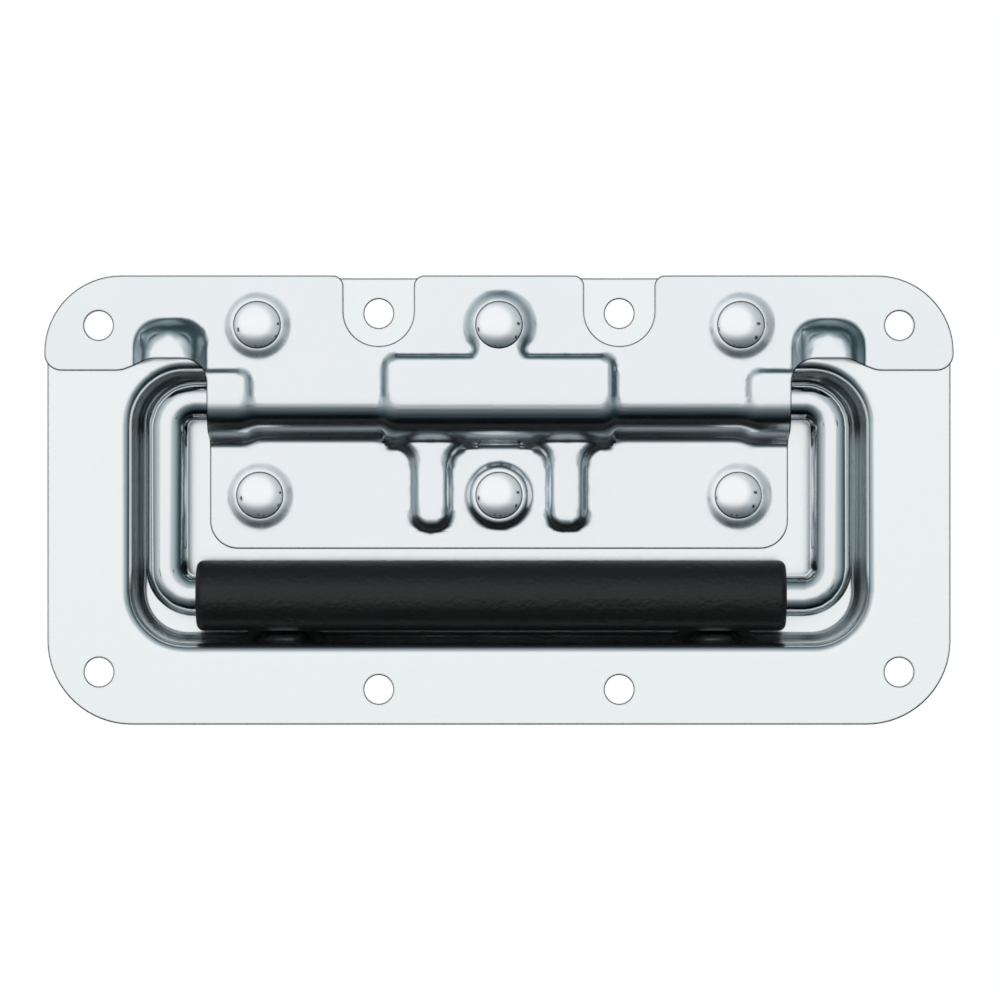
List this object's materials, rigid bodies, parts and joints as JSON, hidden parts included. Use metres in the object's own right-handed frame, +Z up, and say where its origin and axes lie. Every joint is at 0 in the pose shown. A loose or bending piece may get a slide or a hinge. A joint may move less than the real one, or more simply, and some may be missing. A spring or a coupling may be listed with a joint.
{
  "type": "recessed pull handle",
  "caption": "Recessed pull handle: a pressed dish with a riveted cover plate that holds a sprung wire bail with a soft grip sleeve.",
  "frame": {"origin": "middle of the inner hole pattern, on the back face of the dish's flange, which seats on the case", "axes": "+X to the right along the bail's pivot, +Z up, front towards -Y"},
  "size_m": [0.173, 0.0179, 0.0855],
  "materials": {
    "plated_sheet": "bright zinc plate, smooth, with soft reflections",
    "plated_rod": "bright zinc plate on smooth round bar",
    "plated_rivet": "bright polished domes",
    "spring_wire": "plain drawn wire",
    "grip_rubber": "soft black, finely grained"
  },
  "bodies": {
    "dish": {"dish": "plated_sheet", "cover_plate": "plated_sheet", "spring_right": "spring_wire", "spring_left": "spring_wire", "rivet_upper_left": "plated_rivet", "rivet_upper_middle": "plated_rivet", "rivet_upper_right": "plated_rivet", "rivet_lower_left": "plated_rivet", "rivet_lower_middle": "plated_rivet", "rivet_lower_right": "plated_rivet"},
    "bail": {"bail": "plated_rod", "grip_sleeve": "grip_rubber"}
  },
  "joints": [
    {"name": "bail_lift", "type": "hinge", "parent": "dish", "child": "bail", "pos_m": [0, 0.0031, 0.0194], "axis": [-1, 0, 0], "range_deg": [0, 90], "stiffness_Nm_per_rad": 0.25, "springref_deg": -34.38, "deforming": ["spring_right", "spring_left"]}
  ]
}
